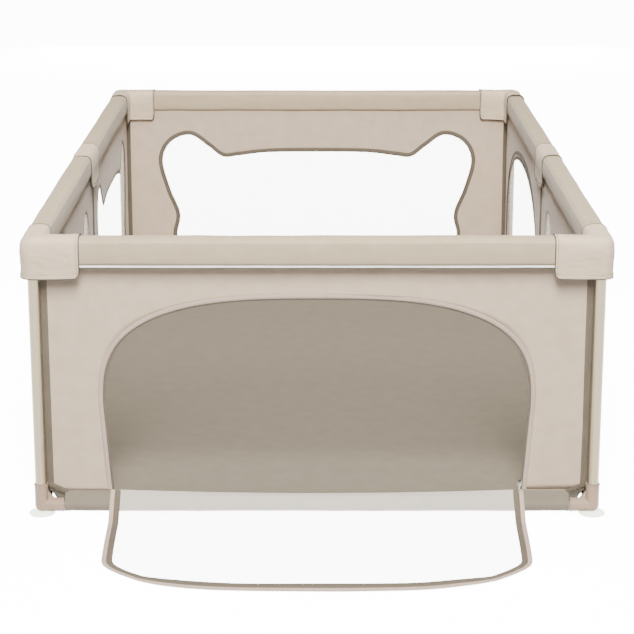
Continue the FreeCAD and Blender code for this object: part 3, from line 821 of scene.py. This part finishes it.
def wallSheet(bay, line, centre, isDoor):
    border = wallBorder(bay)
    outline = [(p.x, p.y) for p in line]
    if isDoor:
        under = -0.3
        rayBorder = border + [(border[-1][0], under), (border[0][0], under)]
        rayHole = outline + [(outline[-1][0], under), (outline[0][0], under)]
        angles = [math.pi * (1 - i / wall["columns"]) for i in range(wall["columns"] + 1)]
    else:
        rayBorder, rayHole = border, outline
        angles = [math.pi - 2 * math.pi * i / wall["columns"] for i in range(wall["columns"] + 1)]
    # the nearest ray to each corner of the cloth is turned to meet it
    for x, z in border:
        turn = math.atan2(z - centre[1], x - centre[0])
        nearest = min(range(1, len(angles) - 1), key=lambda i: abs(angles[i] - turn))
        if abs(angles[nearest] - turn) < 0.05:
            angles[nearest] = turn
    holes = [cutRay(rayHole, centre, a) for a in angles]
    edges = [cutRay(rayBorder, centre, a) for a in angles]

    def place(s, t):
        i = round(s * (len(angles) - 1))
        x = holes[i][0] + (edges[i][0] - holes[i][0]) * t
        z = holes[i][1] + (edges[i][1] - holes[i][1]) * t
        return Vector((x, wallInset + wallRipple(bay, x, z), z))

    bm = gridMesh(len(angles) - 1, wall["rows"], place, bayMatrix(bay), None, 1e-6)
    piece = finishMesh(f"cloth_wall_{bay}", bm, "wallOxford", "frame", wall["thick"])
    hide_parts(f"wall_{bay}")
    xs = [x for x, _ in border]
    whole = polygonArea(border)
    hole = polygonArea(outline + ([(outline[-1][0], wallBottom), (outline[0][0], wallBottom)]
                                  if isDoor else []))
    wide, tall = max(xs) - min(xs), wall["top"] - wallBottom
    return piece, (wide, tall), whole - hole


def windowNet(bay, line, centre):
    outline = [(p.x, p.y) for p in line]
    count = len(outline)

    def place(s, t):
        edge = outline[round(s * count) % count]
        x = centre[0] + (edge[0] - centre[0]) * t
        z = centre[1] + (edge[1] - centre[1]) * t
        sag = wobble((x, 0, z), wall["netSagWave"], wall["netSag"]) * (1 - t)
        return Vector((x, wallInset + wallRipple(bay, x, z) * t + sag, z))

    bm = gridMesh(count, wall["netRows"], place, bayMatrix(bay), None, 1e-6)
    net = finishMesh(f"net_{bay}", bm, "net", "frame")
    polygonArea(outline)
    return net


tapeParts = []
wallSheets = []
for bay in bays:
    low, high = wallEnds(bay)
    middle, half = (low + high) / 2, (high - low) / 2
    if bay == "front":
        line = doorLine(0, sill.z, 240)
        wallSheets.append((*wallSheet(bay, line, (0, wallBottom), True), bay))
        continue
    if bay == "right_back":
        line = archLine(archShare * half, arch["low"], arch["spring"], arch["high"])
        gap = tape["archGap"]
        hole = archLine(archShare * half - gap, arch["low"] + gap, arch["spring"], arch["high"] - gap)
        centre = (middle, arch["spring"])
    else:
        line = bearLine(half / (bearFabricHalf if bay == "back" else sideBearFabricHalf))
        hole = line
        centre = (middle, wall["centreZ"])
    line = [Vector((p.x + middle, p.y)) for p in line]
    hole = [Vector((p.x + middle, p.y)) for p in hole]
    wallSheets.append((*wallSheet(bay, hole, centre, False), bay))
    net = windowNet(bay, hole, centre)
    if bay == "back":
        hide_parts("window_mesh_back")
    elif bay.endswith("front"):
        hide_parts("window_mesh_" + bay.split("_")[0])
    offsets = [0] if bay != "right_back" else [-tape["archGap"], tape["archGap"]]
    wide = tape["half"] if bay != "right_back" else tape["archHalf"]
    for offset in offsets:
        def oval(t, offset=offset):
            side, depth = doubled(2 * math.pi * t, wide, tape["thick"])
            return side + offset, depth
        tapeParts.append(bandMesh(line, True, oval, bayMatrix(bay), wallInset))
bm = gather(tapeParts)
turnOut(bm)
tapes = finishMesh("window_tape", bm, "windowTape", "frame")
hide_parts("window_tapes")
for piece, size, area, bay in wallSheets:
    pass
print("walls made")

# base sleeves and floor mat
base = {
    "ring": 0.0139, "seamR": 0.0016, "around": 40, "step": 0.012, "thick": 0.001,
    "matRise": 0.030, "matLow": 0.0022, "matSway": 0.0022, "matWave": 0.28, "matFine": 0.0008,
    "matFineWave": 0.07, "sillSag": 0.009, "matCols": 150, "matRows": 210, "matFlat": 0.02,
    "wrinkle": 0.0007, "wrinkleWave": 0.05, "sway": 0.0006, "swayWave": 0.2, "hemRise": 0.0007,
    "hemWide": 0.006, "seamCalm": 0.3, "stretch": 0.8,
}


# How far the sill sags below its ends, part way along the doorway.
def sillDrop(x):
    return base["sillSag"] * max(1 - (x / door["foot"]) ** 2, 0)


# Round a base sleeve: the tube's underside, then up to the seam and back.
def sleeveLoop(t):
    seamZ = seamTop - baseZ - base["seamR"]
    reach = math.hypot(wallInset, seamZ)
    turn = math.acos((base["ring"] - base["seamR"]) / reach)
    heading = math.atan2(seamZ, wallInset)
    start, stop = heading + turn, heading - turn + 2 * math.pi
    arc = (stop - start) * base["ring"]
    flank = math.sqrt(reach ** 2 - (base["ring"] - base["seamR"]) ** 2)
    tip = 2 * turn * base["seamR"]
    total = arc + 2 * flank + tip
    d = t * total
    if d < arc:
        a = start + d / base["ring"]
        return Vector((base["ring"] * math.cos(a), base["ring"] * math.sin(a)))
    d -= arc

    def tangent(a, r, x, z):
        return Vector((x + r * math.cos(a), z + r * math.sin(a)))

    if d < flank:
        return tangent(stop, base["ring"], 0, 0).lerp(tangent(stop, base["seamR"], wallInset, seamZ),
                                                      d / flank)
    d -= flank
    if d < tip:
        return tangent(stop + d / base["seamR"], base["seamR"], wallInset, seamZ)
    d -= tip
    return tangent(start, base["seamR"], wallInset, seamZ).lerp(tangent(start, base["ring"], 0, 0),
                                                                min(d / flank, 1))


sleeveParts = []
for bay in bays:
    half = bays[bay][3] - (postX - railHalf)

    def sleeve(s, t):
        x = half * (2 * s - 1)
        p = sleeveLoop(t)
        way = p.normalized()
        out = wobble((x, p.x * 3, p.y * 3), base["wrinkleWave"], base["wrinkle"])
        out += wobble((x, p.x, p.y), base["swayWave"], base["sway"])
        # the hem at each end is turned back over a cord
        out += base["hemRise"] * (1 - smooth(base["hemWide"], base["hemWide"] + 0.0015, half - abs(x)))
        q = p + way * out * (1 if p.y < base["ring"] else base["seamCalm"])
        drop = sillDrop(x) * smooth(0.0, wallInset, p.x) if bay == "front" else 0
        return Vector((x, q.x, baseZ + q.y - drop))

    sleeveParts.append(gridMesh(int(2 * half / base["step"]), base["around"] * 2, sleeve, bayMatrix(bay),
                                lambda s, t, p: (p.x, t * 0.14), 1e-7))
bm = gather(sleeveParts)
turnOut(bm)
sleeves = finishMesh("base_sleeve_cloth", bm, "matOxford", "frame")
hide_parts("base_sleeves")


matHalfX = postX - wallInset
matHalfY = postY - wallInset


def matHeight(x, y):
    edge = min(matHalfX - abs(x), matHalfY - abs(y))
    rise = (seamTop - base["matLow"]) * (1 - smooth(0, base["matRise"], edge)) ** 1.5
    away = smooth(0.01, 0.08, edge)
    wave = wobble((x, y, 0), base["matWave"], base["matSway"], 2.2)
    fine = wobble((x, y, 0), base["matFineWave"], base["matFine"], 4.4)
    return max(base["matLow"] + rise + (wave + fine) * away, 0.0012)


def matPlace(s, t):
    # rows crowd towards the edges, where the cloth turns up to the seam
    def spread(f):
        f = 2 * f - 1
        return math.copysign(1 - (1 - abs(f)) ** 1.6, f)
    x, y = matHalfX * spread(s), matHalfY * spread(t)
    z = matHeight(x, y)
    edge = matHalfY + y
    z -= sillDrop(x) * (1 - smooth(0, base["matFlat"], edge))
    return Vector((x, y, z))


bm = gridMesh(base["matCols"], base["matRows"], matPlace, None, lambda s, t, p: (p.x, p.y))
mat = finishMesh("floor_cloth", bm, "matOxford", "frame", base["thick"])
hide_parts("floor_mat")
print("base made")

# doorway binding and open door
edge = {
    "bindHalf": 0.0048, "bindThick": 0.0016, "tapeHalf": 0.0026, "tapeThick": 0.0007,
    "tapeBack": 0.0021, "wrap": 0.003,
    "leafBindHalf": 0.0050, "leafTapeHalf": 0.0066,
    "leafWave": 0.16, "leafLift": 0.0016, "count": 300, "foldSoft": 0.022, "flatRun": 0.06,
    "lowerWave": 0.09, "lowerRipple": 0.0011, "looseFrom": 0.36, "looseTo": 0.41, "loose": 0.6,
    "blendHalf": 0.024, "netCols": 90, "leafWide": 0.442,
}


def ovalAt(offset, wide, thick):
    def section(t):
        side, depth = doubled(2 * math.pi * t, wide, thick)
        return side + offset, depth
    return section


line = doorLine(0, sill.z, edge["count"])
bindOffset = edge["wrap"] - edge["bindHalf"]
front = bayMatrix("front")
bm = bandMesh(line, False, ovalAt(bindOffset, edge["bindHalf"], edge["bindThick"]), front, wallInset)
turnOut(bm)
doorwayBinding = finishMesh("doorway_binding", bm, "binding", "frame")
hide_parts("doorway_zip")
tapeOffset = edge["wrap"] - 2 * edge["bindHalf"] - edge["tapeHalf"] * 0.6
bm = bandMesh(line, False, ovalAt(tapeOffset, edge["tapeHalf"], edge["tapeThick"]), front,
              wallInset + edge["tapeBack"])
turnOut(bm)
finishMesh("doorway_zip_tape", bm, "windowTape", "frame")

lowerWay = (fold - sill).normalized()
lowerRun = (fold - sill).length


# A point on the open door, v from the sill, lift off its upper face.
def doorPoint(x, v, lift=0.0):
    soft = edge["foldSoft"]
    if v < lowerRun - soft:
        point, way = sill + lowerWay * v, lowerWay
    elif v > lowerRun + soft:
        point, way = fold + Vector((0, -1, 0)) * (v - lowerRun), Vector((0, -1, 0))
    else:
        k = (v - lowerRun + soft) / (2 * soft)
        a, b = fold - lowerWay * soft, fold + Vector((0, -soft, 0))
        point = a * (1 - k) ** 2 + fold * (2 * k * (1 - k)) + b * k ** 2
        way = ((fold - a) * (1 - k) + (b - fold) * k).normalized()
    up = Vector((0, way.z, -way.y))
    flat = smooth(lowerRun, lowerRun + edge["flatRun"], v)
    ripple = abs(wobble((x, v, 0), edge["leafWave"], edge["leafLift"] * 2.2, 1.3)) * flat
    lower = wobble((x, v * 0.5, 0), edge["lowerWave"], edge["lowerRipple"], 8.1)
    ripple += lower * (1 - flat) * smooth(0, 0.02, v)
    drop = sillDrop(x) * smooth(0.001, wallInset, point.y + postY)
    return Vector((x, point.y, point.z - drop)) + up * (lift + ripple)


# the leaf's outline: half width against the run from the sill
leafHalf = [
    (.4415, 0), (.4410, .06), (.4385, .15), (.436, .22), (.434, .262), (.4322, .282), (.428, .297),
    (.420, .311), (.4105, .3225), (.389, .343), (.367, .3595), (.349, .3725), (.317, .3875),
    (.285, .3975), (.245, .4065), (.195, .4135), (.115, .419), (0, .4205),
]


# The leaf's outline from its left foot round the end to its right foot: x and run.
def leafLine(count):
    dense = []
    points = [Vector(p) for p in leafHalf]
    points = [points[0] * 2 - points[1]] + points + [Vector((-points[-2].x, points[-2].y))]
    for p0, p1, p2, p3 in zip(points, points[1:], points[2:], points[3:]):
        for k in range(12):
            f = k / 12
            dense.append(0.5 * (2 * p1 + (p2 - p0) * f + (2 * p0 - 5 * p1 + 4 * p2 - p3) * f * f
                                + (3 * p1 - p0 - 3 * p2 + p3) * f ** 3))
    dense.append(points[-2])
    left = [Vector((-p.x, p.y)) for p in dense]
    return evenly(left + [Vector((-p.x, p.y)) for p in reversed(left[:-1])], count)


# Half width of the leaf at a run from the sill.
def leafWidth(run):
    for (xa, va), (xb, vb) in zip(leafCurve, leafCurve[1:]):
        if va <= run <= vb:
            return xa + (xb - xa) * (run - va) / max(vb - va, 1e-9)
    return 0.0


leafCurve = [(-p.x, p.y) for p in leafLine(801)[:401]]


def doorBand(offset, wide, thick):
    outline = leafLine(edge["count"])
    section = ovalAt(offset, wide, thick)
    count = len(outline)

    def place(s, t):
        i = round(s * (count - 1))
        before, after = outline[max(i - 1, 0)], outline[min(i + 1, count - 1)]
        way = (after - before).normalized()
        side, depth = section(t)
        # the band lies looser and wider round the end of the door
        side *= 1 + edge["loose"] * smooth(edge["looseFrom"], edge["looseTo"], outline[i].y)
        x, z = outline[i].x - way.y * side, outline[i].y + way.x * side
        return doorPoint(x, max(z, 0.001), depth)

    bm = gridMesh(count - 1, 10, place, None, lambda s, t, p: (s * 1.9, t * 0.02), 1e-6)
    turnOut(bm)
    return bm


def blended(piece):
    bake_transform(piece)
    return piece


leafBinding = blended(finishMesh(
    "door_binding", doorBand(-edge["leafBindHalf"], edge["leafBindHalf"], edge["bindThick"] * 0.5),
    "binding", None))
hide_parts("door_lower_zip", "door_zip")
blended(finishMesh(
    "door_zip_tape", doorBand(-2 * edge["leafBindHalf"] - edge["leafTapeHalf"] * 0.85,
                              edge["leafTapeHalf"], edge["tapeThick"]), "windowTape", None))

netInset = 2 * edge["leafBindHalf"] + edge["leafTapeHalf"]
netRun = leafHalf[-1][1] - netInset
netShare = 1 - netInset / edge["leafWide"]


def doorNet(s, t):
    v = netRun * (1 - (1 - t) ** 2)
    stretch = leafHalf[-1][1] / netRun
    x = leafWidth(v * stretch) * netShare * (2 * s - 1)
    return doorPoint(x, v, 0.0)


bm = gridMesh(edge["netCols"], edge["netCols"], doorNet, None, lambda s, t, p: (p.x, t), 1e-6)
leafNet = blended(finishMesh("door_net", bm, "net", None))
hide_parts("door_lower_mesh", "door_mesh")
netArea = sum(2 * leafWidth((k + 0.5) * leafHalf[-1][1] / 200) for k in range(200))
netArea *= netShare * netRun / 200
print("door made")

# straps that hold the walls to the posts, in dark tape: real straps, whose dark colour is painted shade for
# the gap between each wall and its post
strap = {"thick": 0.0012, "low": 0.052, "high": 0.5435, "cornerShadeTube": 0.003, "bindHalf": 0.0045,
         "bindThick": 0.0016, "pull": 0.0006, "pullWave": 0.06, "grip": (0.0092, 0.0088), "slack": 0.0008}


# A strip of tape from the foot to the top of a post between two plan points.
def strapPart(ends, bulge):
    a, b = Vector(ends[0]), Vector(ends[1])
    out = Vector(((b - a).y, -(b - a).x)).normalized() * bulge

    def place(s, t):
        z = strap["low"] + (strap["high"] - strap["low"]) * s
        p = a.lerp(b, t) + out * math.sin(math.pi * t)
        pull = wobble((p.x, p.y, z), strap["pullWave"], strap["pull"])
        return Vector((p.x + pull, p.y, z))
    return gridMesh(60, 6, place, None, lambda s, t, p: (t * 0.012, p.z))


# A dark tube up the inside of a corner, in tape colour: painted shade for the shadowed post seen between
# the two walls.
def cornerShadeTube(x, y):
    def place(s, t):
        z = strap["low"] + (strap["high"] - strap["low"]) * s
        a = 2 * math.pi * t
        return Vector((x + strap["cornerShadeTube"] * math.cos(a), y + strap["cornerShadeTube"] * math.sin(a), z))
    return gridMesh(30, 10, place, None, lambda s, t, p: (t * 0.012, p.z), 1e-7)


strapAndShadeParts = []
for sx in (-1, 1):
    for sy in (-1, 1):
        grip = (sx * (postX - strap["grip"][0]), sy * (postY - strap["grip"][1]))
        strapAndShadeParts.append(strapPart(((sx * wallHigh[0], sy * (postY - wallInset)), grip), 0))
        strapAndShadeParts.append(strapPart(((sx * (postX - wallInset), sy * (postY - cornerGap)), grip), 0))
        inside = wallInset + strap["slack"]
        strapAndShadeParts.append(cornerShadeTube(sx * (postX - inside), sy * (postY - inside)))
    x = sx * (postX - wallInset)
    strapAndShadeParts.append(strapPart(((x, -middleGap), (x, middleGap)), sx * strap["slack"]))
# a dark tape band down each end of each wall, its darkness painted shade for the gap where the wall meets
# its post
for bay in bays:
    low, high = wallEnds(bay)
    for x in (low + strap["bindHalf"], high - strap["bindHalf"]):
        line = evenly([Vector((x, strap["low"])), Vector((x, strap["high"]))], 40)
        strapAndShadeParts.append(bandMesh(line, False, ovalAt(0, strap["bindHalf"], strap["bindThick"]),
                                   bayMatrix(bay), wallInset))
finishMesh("post_straps_and_shade", gather(strapAndShadeParts), "windowTape", "frame", strap["thick"])

# folded tie at each lower corner of the end walls
tie = {"drop": 0.011, "thick": 0.0014, "out": 0.0034, "past": 0.004, "crimp": 0.0006, "crimps": 900}


def tiePart(bay, sign):
    high = wallEnds(bay)[1]
    a = Vector((high - wall["cutX"] - tie["past"], wallBottom - tie["past"]))
    b = Vector((high + 0.001, wallBottom + wall["cutZ"] - tie["past"]))
    line = evenly([Vector((sign * a.x, a.y)), Vector((sign * b.x, b.y))], 30)

    def section(t):
        side, depth = doubled(2 * math.pi * t, tie["drop"] / 2, tie["thick"])
        return side, depth + tie["crimp"] * math.sin(side * tie["crimps"])
    return bandMesh(line, False, section, bayMatrix(bay), wallInset - tie["out"])


bm = gather([tiePart(bay, sign) for bay in ("front", "back") for sign in (1, -1)])
turnOut(bm, True)
ties = finishMesh("corner_tie_cloth", bm, "windowTape", "frame")
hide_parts("corner_ties")

# stitches
# Each stitch is a short lozenge lying along its seam.
def stitchMesh(rows, wide, tall):
    bm = bmesh.new()
    layer = bm.loops.layers.uv.new("cloth")
    for point, way, normal, pitch in rows:
        side = way.cross(normal).normalized()
        ends = [point - way * pitch * 0.36, point + way * pitch * 0.36]
        ring = [side * wide, normal * tall, side * -wide]
        verts = [bm.verts.new(ends[0])] + [bm.verts.new(point + r) for r in ring] + [bm.verts.new(ends[1])]
        for a, b in ((1, 2), (2, 3), (3, 1)):
            bm.faces.new((verts[0], verts[b], verts[a]))
            bm.faces.new((verts[4], verts[a], verts[b]))
    for face in bm.faces:
        for loop in face.loops:
            loop[layer].uv = (loop.vert.co.x + loop.vert.co.y, loop.vert.co.z)
    return bm


bm = stitchMesh(stitches["frame"], 0.0009, 0.0009)
finishMesh("seam_stitches", bm, "thread", "frame")
print(len(stitches["frame"]), "stitches")

# tubes, fittings, cups, slider and pull tab keep their own shape
kept = {
    "lacquer": [n for n in frame["nodes"] if n.startswith(("post_", "top_tube_", "bottom_tube_"))],
    "nylon": [n for n in frame["nodes"] if n.startswith(("base_fitting_", "top_corner_", "top_side_"))],
    "pvc": ["suction_cups"],
    "nickel": ["zip_slider", "zip_pull"],
}
for finish, names in kept.items():
    for name in names:
        mesh = frame["nodes"][name].data
        mesh.materials.clear()
        mesh.materials.append(mats[finish])
print("frame finished")

# floor, light and camera
floorMesh = bpy.data.meshes.new("studio floor")
bm = bmesh.new()
bmesh.ops.create_circle(bm, cap_ends=True, segments=64, radius=60)
bm.to_mesh(floorMesh)
bm.free()
floor = bpy.data.objects.new("studio floor", floorMesh)
bpy.context.scene.collection.objects.link(floor)
material, tree, shader = newMaterial("white studio floor")
shader.inputs["Base Color"].default_value = (0.85, 0.85, 0.85, 1)
shader.inputs["Roughness"].default_value = 0.07
shader.inputs["Emission Color"].default_value = (1, 0.998, 0.995, 1)
shader.inputs["Emission Strength"].default_value = 13.0
floorMesh.materials.append(material)
floor.location = (0, 0, -0.0005)
# a lit floor, as in a white studio, that does not throw its light up onto the cloth
floor.visible_diffuse = False

world = bpy.data.worlds.new("studio")
bpy.context.scene.world = world
world.use_nodes = True
background = world.node_tree.nodes["Background"]
background.inputs["Color"].default_value = (1, 0.995, 0.985, 1)
background.inputs["Strength"].default_value = 13.0
# the backdrop is seen white but throws no light of its own: the lamps do that
world.cycles_visibility.diffuse = False
world.cycles_visibility.glossy = False


def softLight(name, place, target, size, power, mirrored=True):
    lamp = bpy.data.lights.new(name, "AREA")
    lamp.shape = "RECTANGLE"
    lamp.size, lamp.size_y = size
    lamp.energy = power
    piece = bpy.data.objects.new(name, lamp)
    bpy.context.scene.collection.objects.link(piece)
    piece.location = place
    piece.visible_camera = False
    piece.visible_glossy = mirrored
    piece.rotation_euler = (Vector(target) - Vector(place)).to_track_quat("-Z", "Y").to_euler()


softLight("overhead soft box", (0, -0.2, 4.2), (0, 0, 0), (1.2, 3.0), 230)
softLight("front soft box", (0, -5.6, 4.2), (0, 0, 0.3), (1.8, 2.0), 830)
softLight("low front soft box", (0, -6.4, 1.7), (0, 0, 0.3), (2.4, 1.4), 120)
softLight("inside soft box", (0, -3.4, 3.9), (0, 1.0, 0.35), (0.9, 0.9), 260)
softLight("rear fill", (0, 6.0, 0.45), (0, 0, 0.3), (3.0, 0.6), 330, False)
softLight("left fill", (-6.0, 0.2, 0.4), (0, 0, 0.3), (3.0, 0.5), 165, False)
softLight("right fill", (6.0, 0.2, 0.4), (0, 0, 0.3), (3.0, 0.5), 165, False)

camera = bpy.data.cameras.new("front view")
camera.lens = 103.2
camera.sensor_width = 36
camera.shift_y = -0.15
eye = bpy.data.objects.new("front view", camera)
bpy.context.scene.collection.objects.link(eye)
eye.location = (0, -4.514, 1.534)
eye.rotation_euler = (math.radians(90 - 13.85), 0, 0)
bpy.context.scene.camera = eye
